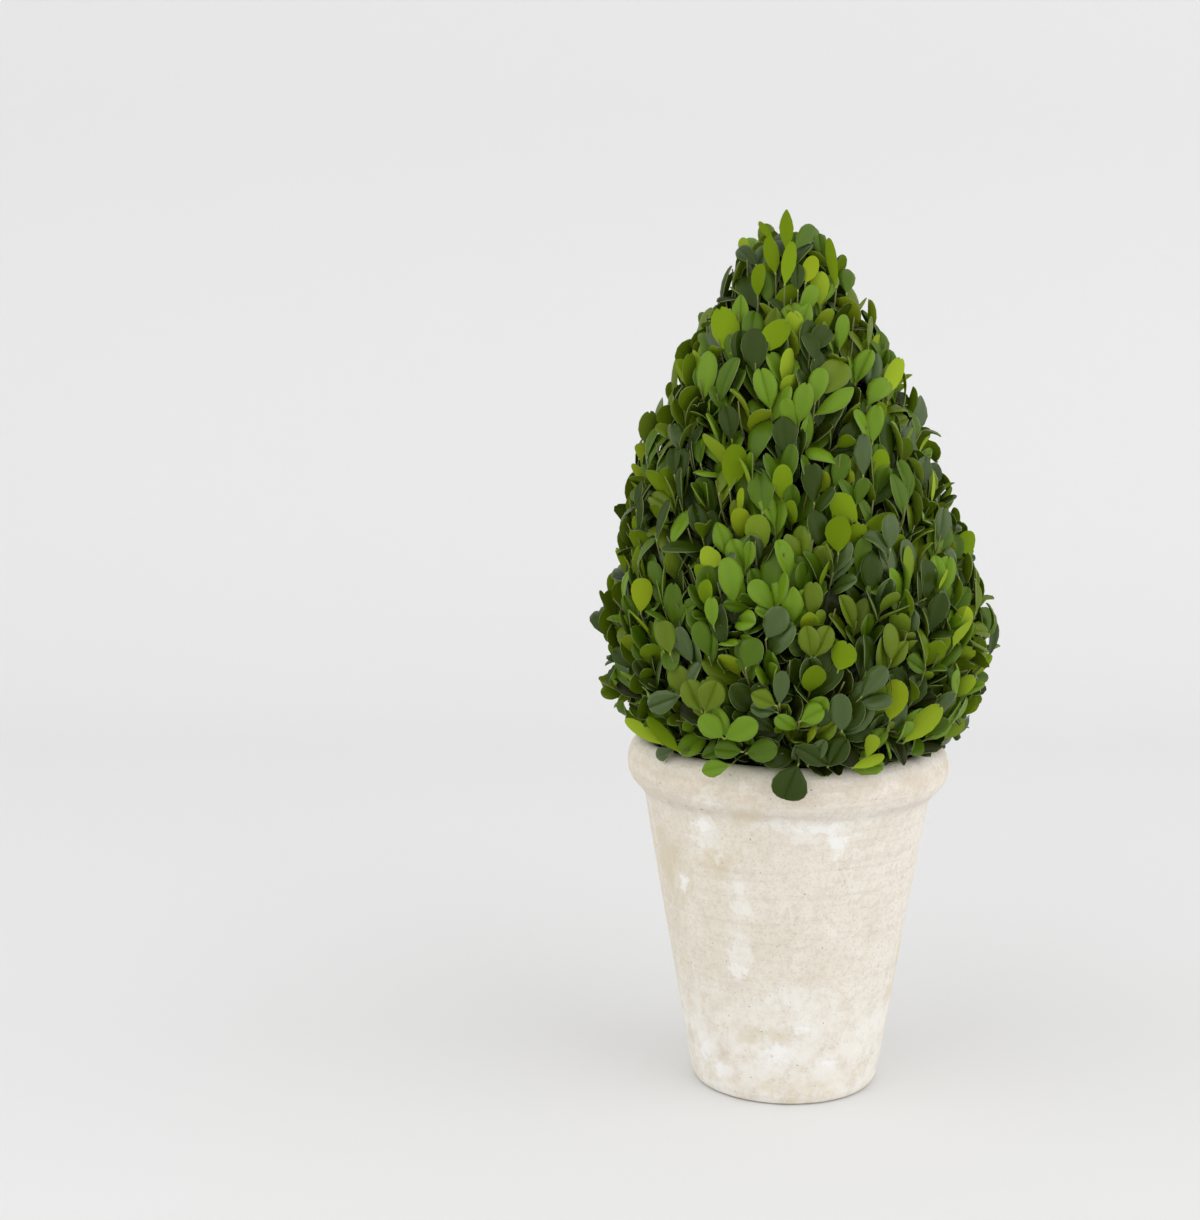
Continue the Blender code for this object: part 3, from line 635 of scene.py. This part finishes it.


# Leaves listed one by one, the ones the eye finds first: base and tip (x, y, z), width, tone, and 1 where the
# upper side faces the front or -1 where the underside does. The rim's first, then the lower crown, the
# middle and the top.
handLeaves = (
    (-3, -95, 200, -11, -99, 182, 19.3, "deep", 1),
    (14, -92, 198, -3, -104, 210, 10.2, "deep", 1),
    (12, -92, 197, 19, -103, 213, 11.2, "deep", 1),
    (2, -89, 197, 8, -102, 212, 8.2, "bluish", 1),
    (-41, -92, 212, -53, -95, 224, 12.2, "fresh", 1),
    (-41, -92, 212, -27, -105, 223, 12.7, "fresh", 1),
    (-31, -91, 205, -46, -90, 207, 10.7, "mid", 1),
    (-30, -90, 204, -16, -101, 209, 12.3, "mid", 1),
    (-37, -90, 198, -53, -85, 194, 9.7, "fresh", 1),
    (-52, -90, 225, -60, -89, 242, 13.3, "olive", 1),
    (-51, -91, 225, -46, -98, 242, 14.3, "olive", 1),
    (-62, -82, 233, -81, -73, 225, 12.3, "bluish", 1),
    (-71, -64, 203, -90, -50, 213, 6.8, "fresh", -1),
    (-62, -72, 200, -80, -65, 218, 7.5, "deep", -1),
    (-15, -103, 231, -28, -105, 238, 11.1, "olive", 1),
    (-14, -99, 227, -28, -102, 231, 9.1, "bluish", 1),
    (-14, -102, 231, -13, -106, 249, 8.6, "bluish", 1),
    (-4, -103, 223, 7, -108, 231, 12.1, "fresh", 1),
    (18, -100, 217, 16, -107, 237, 11.6, "bluish", 1),
    (52, -80, 207, 72, -82, 228, 11.4, "fresh", -1),
    (32, -88, 201, 36, -100, 218, 7.7, "fresh", -1),
    (43, -93, 221, 47, -97, 245, 13.2, "olive", -1),
    (24, -93, 197, 41, -88, 202, 6.1, "fresh", -1),
    (-21, -99, 264, -13, -102, 281, 13.1, "bluish", 1),
    (-31, -98, 249, -26, -103, 265, 13.1, "mid", 1),
    (2, -103, 255, -1, -105, 272, 11.0, "olive", 1),
    (3, -103, 255, 10, -105, 272, 11.0, "olive", 1),
    (15, -102, 248, 20, -105, 265, 13.6, "mid", -1),
    (-83, -56, 271, -82, -56, 291, 11.5, "olive", -1),
    (-68, -79, 253, -72, -77, 271, 10.3, "olive", 1),
    (-53, -77, 296, -45, -82, 309, 12.3, "fresh", -1),
    (16, -89, 306, 16, -88, 326, 13.6, "deep", -1),
    (27, -82, 321, 12, -84, 337, 13.2, "mid", -1),
    (-22, -83, 326, -23, -79, 350, 14.2, "mid", 1),
    (-38, -72, 337, -34, -70, 361, 13.3, "deep", -1),
    (30, -73, 344, 30, -69, 367, 9.7, "bluish", 1),
    (-9, -75, 354, -11, -71, 376, 14.2, "deep", 1),
    (8, -64, 385, 22, -55, 404, 16.4, "olive", 1),
    (43, -49, 384, 54, -28, 401, 9.3, "fresh", -1),
    (-34, -43, 404, -41, -24, 428, 15.1, "mid", -1),
    (-25, -48, 407, -6, -51, 422, 13.0, "mid", -1),
    (-27, -44, 409, -23, -36, 430, 11.4, "mid", 1),
    (4, -52, 407, 14, -48, 421, 11.3, "deep", 1),
    (-1, -36, 438, -1, -29, 454, 8.3, "deep", 1),
    (3, -34, 442, 8, -26, 456, 8.9, "olive", -1),
    (-12, -28, 447, -15, -17, 466, 8.4, "deep", -1),
    (-8, -35, 441, -3, -24, 463, 7.8, "mid", -1),
    (-21, -17, 452, -31, 1, 465, 9.0, "deep", 1),
    (20, -28, 440, 17, -14, 465, 5.8, "deep", -1),
    (-12, -15, 465, -18, 0, 474, 4.0, "deep", -1),
    (-6, -23, 459, -5, -10, 480, 7.9, "deep", -1),
    (-2, -23, 460, 12, -6, 476, 10.6, "mid", 1),
)
handPlaces = np.array([row[:7] for row in handLeaves], float)


def leafPoints(leaves, toWidest, toTip):
    # Half-width: a quarter sine up to the widest place, then a quarter superellipse (1 - u^k)^(1/2) to the
    # tip. The blade bends along an arc, twists with v, folds at the midrib by |s| h and arches between
    # midrib and edge, and a notch draws the middle of the tip back.
    s = leaf["ring"][None, None, :]
    field = {name: values[:, None, None] for name, values in leaves.items() if values.ndim == 1}
    low, high = toWidest[None, :, None], toTip[None, :, None]
    v = np.concatenate([field["widest"] * low, field["widest"] + (1 - field["widest"]) * high], 1)
    growing = np.sin(math.pi / 2 * low) ** field["taper"]
    closing = np.sqrt(1 - high ** field["blunt"]) ** field["point"]
    half = np.concatenate([growing, closing], 1) * field["width"] / 2
    half = np.maximum(half, leaf["stalkWidth"] / 2)
    bend = np.where(np.abs(field["bend"]) < leaf["leastBend"], leaf["leastBend"], field["bend"])
    along = field["length"] * np.sin(bend * v) / bend
    drop = -field["length"] * (1 - np.cos(bend * v)) / bend
    end = np.concatenate([low * 0, (high / high[:, -1:]) ** leaf["notchRise"]], 1)
    along = along - field["notch"] * field["length"] * (1 - np.abs(s)) ** leaf["notchSide"] * end
    across = half * s
    arch = field["arch"] * half * (1 - (2 * np.abs(s) - 1) ** 2)
    rise = field["fold"] * half * np.abs(s) + arch - leaf["below"] * leaf["thickness"]
    rise = rise - leaf["midrib"] * (s == 0) * (leaf["below"] == 0) * (half > 1)
    twist = field["twist"] * v
    x = across * np.cos(twist) - rise * np.sin(twist)
    up = across * np.sin(twist) + rise * np.cos(twist)
    y = along + up * np.sin(bend * v)
    z = drop + up * np.cos(bend * v)
    x, y, z = np.broadcast_arrays(x, y + leaf["stalkLength"], z)
    stalk = np.stack([s * leaf["stalkWidth"] / 2, s * 0, 0.1 - leaf["below"] * 0.6 + s * 0], -1)
    stalk = np.broadcast_to(stalk, (len(x), 1, len(leaf["ring"]), 3))
    local = np.concatenate([stalk, np.stack([x, y, z], -1)], 1)
    side = np.cross(leaves["along"], leaves["normal"])
    turned = (
        local[..., :1] * side[:, None, None]
        + local[..., 1:2] * leaves["along"][:, None, None]
        + local[..., 2:] * leaves["normal"][:, None, None]
    )
    return leaves["base"][:, None, None] + turned


def directionOf(azimuth, elevation):
    level = np.cos(elevation)
    return np.stack([np.cos(azimuth) * level, np.sin(azimuth) * level, np.sin(elevation)], -1)


def crownRadius(height, azimuth):  # the clipped outline, with soft lobes of value noise
    around = np.stack([70 * np.cos(azimuth), 70 * np.sin(azimuth), height], -1)
    lobes = crown["lobes"] * softNoise(around, crown["lobeSize"], 63)
    return np.interp(height, outlineHeight, outlineRadius) + lobes


def growSprigs(rng):
    # Tips by the golden angle, spread over the outline by its area, each on a curved twig from further in:
    # P(t) = foot + length (d0 (t - t t / 2) + d1 t t / 2), from direction d0 at the foot to d1 at the tip.
    c = crown
    count = c["sprigs"]
    heights = np.linspace(c["firstTip"], c["lastTip"], 600)
    radii = np.interp(heights, outlineHeight, outlineRadius)
    area = np.cumsum(radii * np.sqrt(1 + np.gradient(radii, heights) ** 2))
    number = np.arange(count)
    height = np.interp((number + 0.5) / count * area[-1], area, heights)
    height = height + rng.normal(0, c["heightScatter"], count)
    azimuth = np.radians(number * c["goldenAngle"]) + rng.normal(0, c["azimuthScatter"], count)
    sunk = rng.uniform(*c["sunk"], count)
    radius = np.maximum(crownRadius(height, azimuth) - sunk, 1)
    tip = np.stack([radius * np.cos(azimuth), radius * np.sin(azimuth), height], 1)
    tip[:, 0] += np.interp(height, middleHeight, middlePlace)
    lean = np.interp(height, *np.array(c["tipElevation"], float).T)
    lean = np.radians(lean + rng.normal(0, c["leanScatter"], count))
    firstLean = np.radians(np.interp(height, *np.array(c["footElevation"], float).T))
    turn = azimuth + rng.normal(0, c["sidewaysScatter"], count)
    size, aside, tilt = c["tuft"]
    turn += aside * softNoise(tip, size, 61)
    lean = np.minimum(lean + np.radians(tilt) * softNoise(tip, size, 62), np.radians(c["steepest"]))
    last = directionOf(turn, lean)
    first = directionOf(azimuth, firstLean)
    length = rng.uniform(*c["length"], count)
    foot = tip - length[:, None] * (first + last) / 2
    most, rarity, less = c["reach"]
    reach = most * rng.random(count) ** rarity - less
    return {"foot": foot, "first": first, "last": last, "length": length, "tip": tip, "reach": reach}


def addPlaced(sprigs):
    # A twig for every listed leaf. It ends at the leaf's base and comes from further in, and by the
    # rim it arches over the clay. Sprigs that would stand in such a leaf's place are taken out.
    c = crown
    base, end = handPlaces[:, :3], handPlaces[:, 3:6]
    apart = np.linalg.norm(sprigs["tip"][:, None] - (0.35 * base + 0.65 * end), axis=2).min(1)
    sprigs = {name: values[apart > c["handGap"]] for name, values in sprigs.items()}
    height = base[:, 2]
    azimuth = np.arctan2(base[:, 1], base[:, 0] - np.interp(height, middleHeight, middlePlace))
    over = np.clip((215 - height) / 15, 0, 1)
    lean = np.radians(np.interp(height, *np.array(c["tipElevation"], float).T) - 20 * over)
    firstLean = np.radians(np.interp(height, *np.array(c["footElevation"], float).T) + 6 * over)
    last, first = directionOf(azimuth, lean), directionOf(azimuth, firstLean)
    length = np.full(len(base), c["handTwig"], float)
    more = {
        "foot": base - length[:, None] * (first + last) / 2, "first": first, "last": last, "length": length,
        "tip": base, "reach": np.zeros(len(base)),
    }
    return {name: np.concatenate([sprigs[name], more[name]]) for name in sprigs}


def pathPoints(sprigs, share):  # the curve of growSprigs at shares t of its length
    t = np.asarray(share, float)[None, :, None]
    return sprigs["foot"][:, None] + sprigs["length"][:, None, None] * (
        sprigs["first"][:, None] * (t - t * t / 2) + sprigs["last"][:, None] * t * t / 2
    )


def addShoots(sprigs, rng):
    # Short side shoots from the middle of some twigs, forty degrees off them.
    chosen = np.flatnonzero(rng.random(len(sprigs["tip"])) < crown["shootChance"])
    foot = pathPoints(sprigs, [0.5])[chosen, 0]
    axis = unit(sprigs["first"][chosen] + sprigs["last"][chosen])
    side = unit(np.cross(axis, rng.normal(size=axis.shape)))
    angle = crown["shootAngle"]
    direction = unit(axis * math.cos(angle) + side * math.sin(angle))
    length = rng.uniform(*crown["shootLength"], len(chosen))
    shoots = {"foot": foot, "first": direction, "last": direction, "length": length}
    shoots["tip"] = foot + direction * length[:, None]
    shoots["reach"] = sprigs["reach"][chosen]
    return {name: np.concatenate([sprigs[name], shoots[name]]) for name in sprigs}


def insideClay(points, margin=0.8):  # in the rim's ellipse, in the wall or in the filling, grown by a margin
    radius = np.hypot(points[:, 0], points[:, 1])
    oval = ((radius - rimCentre) / (rimHalfWidth + margin)) ** 2
    oval = oval + ((points[:, 2] - rimMiddle) / (pot["rimHalfHeight"] + margin)) ** 2
    inRim = oval < 1
    low = points[:, 2] < filling["top"] + 2
    inside = low & (radius < rimCentre)
    inWall = (points[:, 2] < rimMiddle) & (radius < pot["neck"] + margin)
    return inRim | inside | inWall


def outsideCrown(points, reach):
    x = points[:, 0] - np.interp(points[:, 2], middleHeight, middlePlace)
    far = np.hypot(x, points[:, 1]) > crownRadius(points[:, 2], np.arctan2(points[:, 1], x)) + reach
    wide = np.abs(points[:, :2]).max(1) > crown["side"]
    return far | wide | (points[:, 2] > crown["top"]) | (points[:, 2] < crown["bottom"])


proxyFaces = [(0, 1, 4, 3), (1, 2, 5, 4), (3, 4, 7, 6), (4, 5, 8, 7)]


def proxyPoints(base, along, normal, length, width, bend, fold):
    # Nine points of the blade's middle surface, for quick tests of one leaf against the others.
    side = np.cross(along, normal)
    v = np.array([0.15, 0.55, 0.97])[:, None, None]
    s = np.array([-0.86, 0, 0.86])[None, :, None]
    half = width / 2 * np.array([0.55, 1.0, 0.5])[:, None, None]
    bend = bend if abs(bend) > leaf["leastBend"] else leaf["leastBend"]
    y = leaf["stalkLength"] + length * np.sin(bend * v) / bend
    z = -length * (1 - np.cos(bend * v)) / bend + fold * half * np.abs(s)
    return (base + s * half * side + y * along + z * normal).reshape(-1, 3)


def squareTo(axis, vector):  # what is left of a vector square to an axis, at length 1
    rest = vector - axis * (vector @ axis)
    return rest / np.linalg.norm(rest)


def placeLeaves(sprigs, rng):
    # Pair by pair from the tips inwards: two leaves across the twig, each pair square to the last. A leaf
    # that would leave the crown, enter the clay or cut another is turned, drawn in or made smaller, and at
    # last left out. The listed leaves come first, untested.
    c = crown
    count = len(sprigs["tip"])
    startTurn = rng.uniform(0, math.pi, count)
    placed = []
    centres = np.zeros((2 * count * len(c["pairSplay"]), 3))
    trees = []
    youngLength, youngSize = c["young"]
    kept = 0
    for row, (place, face) in enumerate(zip(handPlaces, [row[8] for row in handLeaves])):
        base, end = place[:3], place[3:6]
        along = unit(end - base)
        normal = np.array(c["frontward"]) * face
        normal = unit(normal - along * (normal @ along))
        long = np.linalg.norm(end - base) - leaf["stalkLength"]
        centres[kept] = (base + end) / 2
        shape = (base, along, normal, long, place[6], c["handBend"], c["handFold"])
        points = proxyPoints(*shape)
        trees.append(BVHTree.FromPolygons(points.tolist(), proxyFaces))
        kept += 1
        placed.append((firstHand + row, 0, *shape, rng.random(6)))
    for pair in range(len(c["pairSplay"])):
        for number in rng.permutation(count):
            length = sprigs["length"][number]
            share = 1 - pair * c["pairGap"] / length
            byHand = firstHand <= number < lastHand
            if share < -0.3 or (length < youngLength and share < 0.2) or (byHand and pair == 0):
                continue
            foot, first, last = (sprigs[name][number] for name in ("foot", "first", "last"))
            at = foot + length * (first * (share - share * share / 2) + last * share * share / 2)
            axis = first * (1 - max(share, 0)) + last * max(share, 0)
            axis = axis / np.linalg.norm(axis)
            hint = np.array([0, 0, 1.0]) if abs(axis[2]) < 0.9 else np.array([1.0, 0, 0])
            across = np.cross(axis, hint)
            across /= np.linalg.norm(across)
            square = np.cross(axis, across)
            young = 1.0 if length > youngLength else youngSize
            for half in (0, 1):
                turn = startTurn[number] + pair * math.pi / 2 + half * math.pi
                turn += rng.normal(0, c["turnScatter"])
                splay = c["pairSplay"][pair] + rng.normal(0, c["splayScatter"])
                size = c["pairSize"][pair] * rng.uniform(*c["sizeScatter"]) * young
                roll = math.radians(rng.normal(0, c["rollScatter"]))
                slim = rng.uniform(*c["slim"])
                bend = rng.normal(*c["bend"])
                fold = rng.normal(*c["fold"])
                other = rng.random(6)
                for splayShare, turnMore, sizeShare in c["tries"]:
                    angle = math.radians(max(splay * splayShare, 4))
                    out = across * math.cos(turn + turnMore) + square * math.sin(turn + turnMore)
                    along = axis * math.cos(angle) + out * math.sin(angle)
                    along[2] += c["lift"]
                    along = along / np.linalg.norm(along)
                    normal = axis * math.sin(angle) - out * math.cos(angle)
                    normal = squareTo(along, normal)
                    side = np.cross(along, normal)
                    normal = normal * math.cos(roll) + side * math.sin(roll)
                    outward = np.array([at[0], at[1], 0.35 * math.hypot(at[0], at[1]) + 1])
                    outward = outward / np.linalg.norm(outward)
                    shown = 1 if normal @ outward > 0.25 * (other[5] - 0.2) else -1
                    normal = normal + c["facing"] * shown * outward
                    normal = squareTo(along, normal)
                    long = c["leafLength"] * size * sizeShare
                    wide = c["leafWidth"] * size * sizeShare * slim
                    points = proxyPoints(at, along, normal, long, wide, bend, fold)
                    if outsideCrown(points, sprigs["reach"][number]).any() or insideClay(points).any():
                        continue
                    middle = points[4]
                    near = np.flatnonzero(((centres[:kept] - middle) ** 2).sum(1) < c["near"] ** 2)
                    tree = BVHTree.FromPolygons(points.tolist(), proxyFaces)
                    if any(tree.overlap(trees[i]) for i in near):
                        continue
                    centres[kept] = middle
                    trees.append(tree)
                    kept += 1
                    placed.append((number, pair, at, along, normal, long, wide, bend, fold, other))
                    break
    names = ("sprig", "pair", "base", "along", "normal", "length", "width", "bend", "fold", "draws")
    return {name: np.array([row[i] for row in placed]) for i, name in enumerate(names)}


rng = np.random.default_rng(crown["seed"])
sprigs = addPlaced(growSprigs(rng))
lastHand = len(sprigs["tip"])
firstHand = lastHand - len(handLeaves)
sprigs = addShoots(sprigs, rng)
leaves = placeLeaves(sprigs, rng)
say(f"{len(sprigs['tip'])} sprigs, {len(leaves['length'])} leaves placed")

# Leaf colours, dealt out by sprig: an upper face, an underside and how often the pair comes. The last tone is
# painted shade, dealt only to the inner pairs deep in the crown.
tones = (
    ("deep", "#2F4009", "#657C0E", 0.26),
    ("mid", "#4A650E", "#738C16", 0.27),
    ("olive", "#5D7012", "#86981C", 0.19),
    ("fresh", "#66861A", "#8FA528", 0.14),
    ("bluish", "#3F541E", "#708622", 0.14),
    # Painted shade: dark leaves for the inner pairs, deep in the crown where the light falls off.
    ("inner_shade", "#262D06", "#3C4A08", 0.0),
)
bluishGloss = 2.6


def leafMaterials():
    # Leathery evergreen leaves: waxed and softly glossy above, matte and yellower below, with a thin paler
    # edge.
    finishes = []
    for face, name, roughness, gloss in ((1, "waxy_leaf", 0.34, 0.16), (2, "matt_underside", 0.75, 0.04)):
        for tone in tones:
            finishes.append(newMaterial(
                f"{name}_{tone[0]}", Base_Color=linearColour(tone[face]), Roughness=roughness,
                Specular_IOR_Level=gloss * (bluishGloss if tone[0] == "bluish" else 1),
            )[0])
    finishes.append(newMaterial("leaf_edge_pale", Base_Color=linearColour("#66793A"), Roughness=0.6)[0])
    finishes.append(newMaterial("leaf_stalk_green", Base_Color=linearColour("#7C8A3A"), Roughness=0.6)[0])
    return finishes


leafFinishes = leafMaterials()
sprigTone = rng.choice(len(tones), len(sprigs["tip"]), p=[tone[3] for tone in tones])
toneNames = [tone[0] for tone in tones]
sprigTone[firstHand:lastHand] = [toneNames.index(row[7]) for row in handLeaves]


def buildLeaves():
    # Every leaf of a mass in one array of rings, with a finish for each strip of faces.
    draws = leaves.pop("draws")
    for name, (least, spread, column) in leaf["drawn"].items():
        leaves[name] = least + spread * draws[:, column]
    chance, bluntness, point = leaf["pointed"]
    least, spread = leaf["blunt"]
    whole, depth = leaf["notch"]
    pointed = draws[:, 2] < chance
    leaves["blunt"] = np.where(pointed, bluntness, least + spread * draws[:, 2])
    leaves["point"] = np.where(pointed, point, 1.0)
    leaves["notch"] = np.where((draws[:, 3] < whole) | pointed, 0.0, depth * draws[:, 3])
    leaves["twist"] = leaf["twist"] * (draws[:, 5] - 0.5)
    sprig = leaves["sprig"].astype(int)
    # Painted shade: leaves of the inner pairs get the last, darkest tone, for the shade deep in the crown.
    tone = np.where(leaves["pair"] + 2 * draws[:, 5] > crown["shadedPair"], len(tones) - 1, sprigTone[sprig])
    lows = np.array([low for name, low in crown["masses"]])
    mass = np.searchsorted(lows, sprigs["foot"][sprig, 2], side="right") - 1
    deep = leaves["pair"] >= crown["deepPair"]
    sides = len(leaf["ring"])
    edge = 2 * len(tones)
    for index, (node, _) in enumerate(crown["masses"]):
        points, polygons, dealt, first = [], [], [], 0
        for coarse in (False, True):
            chosen = (mass == index) & (deep == coarse)
            part = {name: values[chosen] for name, values in leaves.items()}
            detail = ("toWidestDeep", "toTipDeep") if coarse else ("toWidest", "toTip")
            made = leafPoints(part, *(leaf[name] for name in detail))
            count, rows = made.shape[:2]
            quads, caps = ringFaces(count, rows, sides)
            strips = np.zeros((count, rows - 1, sides), int) + tone[chosen][:, None, None]
            strips[:, :, 5:7] += len(tones)
            strips[:, :, [4, 7]] = edge
            strips[:, 0, :] = edge + 1
            points.append(made.reshape(-1, 3))
            polygons += [quads + first, caps + first]
            dealt += [strips.ravel(), np.full(len(caps), edge)]
            first += len(points[-1])
        name = node.replace("foliage", "leaves")
        finish = np.concatenate(dealt)
        points = np.concatenate(points)
        makePiece(name, points, polygons, leafFinishes, finish, leaf["sharp"], [node])


buildLeaves()


# Boughs: from the stem by the golden angle, the lowest nearly level and the highest steep. Twigs run from
# them to the sprigs' feet and on to their tips.
boughs = {
    "count": 60,
    "lowest": 191,
    "highest": 414,
    "reach": 0.56,
    "rise": (6, 34),
    "arch": 0.35,
    "radii": (3.0, 1.1),
    "rows": 18,
    "sides": 9,
    "furrow": 0.16,
    "backward": 3,
    "scatter": (0.1, 2, (0.85, 1.1)),
    "outward": 0.6,
    "slimmest": 0.6,
    "pull": 0.6,
    "twigRadii": (1.2, 0.4),
    "shootRadius": 0.6,
    "twigSides": 5,
    "seed": 5,
}


def boughPaths():
    # A quadratic Bezier curve each: from the stem's middle, level at first, then up to a share of the
    # crown's radius.
    b = boughs
    count = b["count"]
    rng = np.random.default_rng(b["seed"])
    turnScatter, topScatter, reachScatter = b["scatter"]
    share = (np.arange(count) + 0.5) / count
    height = b["lowest"] + (b["highest"] - b["lowest"]) * share
    azimuth = np.radians(np.arange(count) * crown["goldenAngle"])
    azimuth = azimuth + rng.normal(0, turnScatter, count)
    start = stemCentre(height)
    top = height + b["rise"][0] + (b["rise"][1] - b["rise"][0]) * share
    top = top + rng.normal(0, topScatter, count)
    reach = b["reach"] * np.interp(top, outlineHeight, outlineRadius)
    reach = reach * rng.uniform(*reachScatter, count)
    out = np.stack([np.cos(azimuth), np.sin(azimuth), azimuth * 0], 1)
    end = start * (1, 1, 0) + out * reach[:, None] + top[:, None] * (0, 0, 1)
    bent = start + out * reach[:, None] * b["outward"] + (top - height)[:, None] * (0, 0, b["arch"])
    t = np.linspace(0, 1, b["rows"])[None, :, None]
    return (1 - t) ** 2 * start[:, None] + 2 * t * (1 - t) * bent[:, None] + t * t * end[:, None]


def buildBoughs(paths):
    # Tapering tubes, thinner the higher they leave the stem, with furrows of value noise along them.
    b = boughs
    taper = np.linspace(*b["radii"], b["rows"])[None]
    slim = np.linspace(1, b["slimmest"], b["count"])[:, None]
    points = tubePoints(paths, taper * slim, b["sides"]).reshape(-1, 3)
    middle = np.repeat(paths.reshape(-1, 3), b["sides"], 0)
    relief = b["furrow"] * (softNoise(points, 1.7, 53) + softNoise(points, 5, 54))
    points = points + unit(points - middle) * relief[:, None]
    makePiece("boughs_bark", points, ringFaces(b["count"], b["rows"], b["sides"]), [bark])


def buildTwigs(paths):
    # From the nearest point of a bough, a little back along it, a Hermite curve to the sprig's foot, which
    # leaves the bough along its line and meets the sprig along the sprig's, and then the sprig's own curve
    # to its tip.
    b = boughs
    feet = sprigs["foot"][:lastHand]
    flat = paths[:, 2:].reshape(-1, 3)
    nearest = np.linalg.norm(feet[:, None] - flat[None], axis=2).argmin(1)
    bough, row = np.divmod(nearest, paths.shape[1] - 2)
    row = np.maximum(row + 2 - b["backward"], 2)
    start = paths[bough, row][:, None]
    along = unit(paths[bough, row] - paths[bough, row - 1])[:, None]
    gap = np.linalg.norm(feet - start[:, 0], axis=1)[:, None, None]
    t = np.linspace(0, 1, 6)[None, :, None]
    join = (
        (2 * t**3 - 3 * t**2 + 1) * start + (t**3 - 2 * t**2 + t) * along * gap * b["pull"]
        + (3 * t**2 - 2 * t**3) * feet[:, None]
        + (t**3 - t**2) * sprigs["first"][:lastHand, None] * gap * b["pull"]
    )
    own = pathPoints(sprigs, [0.2, 0.4, 0.6, 0.8, 1.0])
    whole = np.concatenate([join, own[:lastHand]], 1)
    side = pathPoints(sprigs, np.linspace(0, 1, 5))[lastHand:]
    thick, thin = b["twigRadii"]
    points, polygons, first = [], [], 0
    for path, most in ((whole, thick), (side, b["shootRadius"])):
        radii = np.broadcast_to(np.linspace(most, thin, path.shape[1]), path.shape[:2])
        points.append(tubePoints(path, radii, b["twigSides"]).reshape(-1, 3))
        polygons += [part + first for part in ringFaces(*path.shape[:2], b["twigSides"])]
        first += len(points[-1])
    twig = newMaterial("young_green_twig", Base_Color=linearColour("#666A34"), Roughness=0.7)[0]
    makePiece("twigs", np.concatenate(points), polygons, [twig])


boughLines = boughPaths()
buildBoughs(boughLines)
buildTwigs(boughLines)

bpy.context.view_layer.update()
say("sizes written")
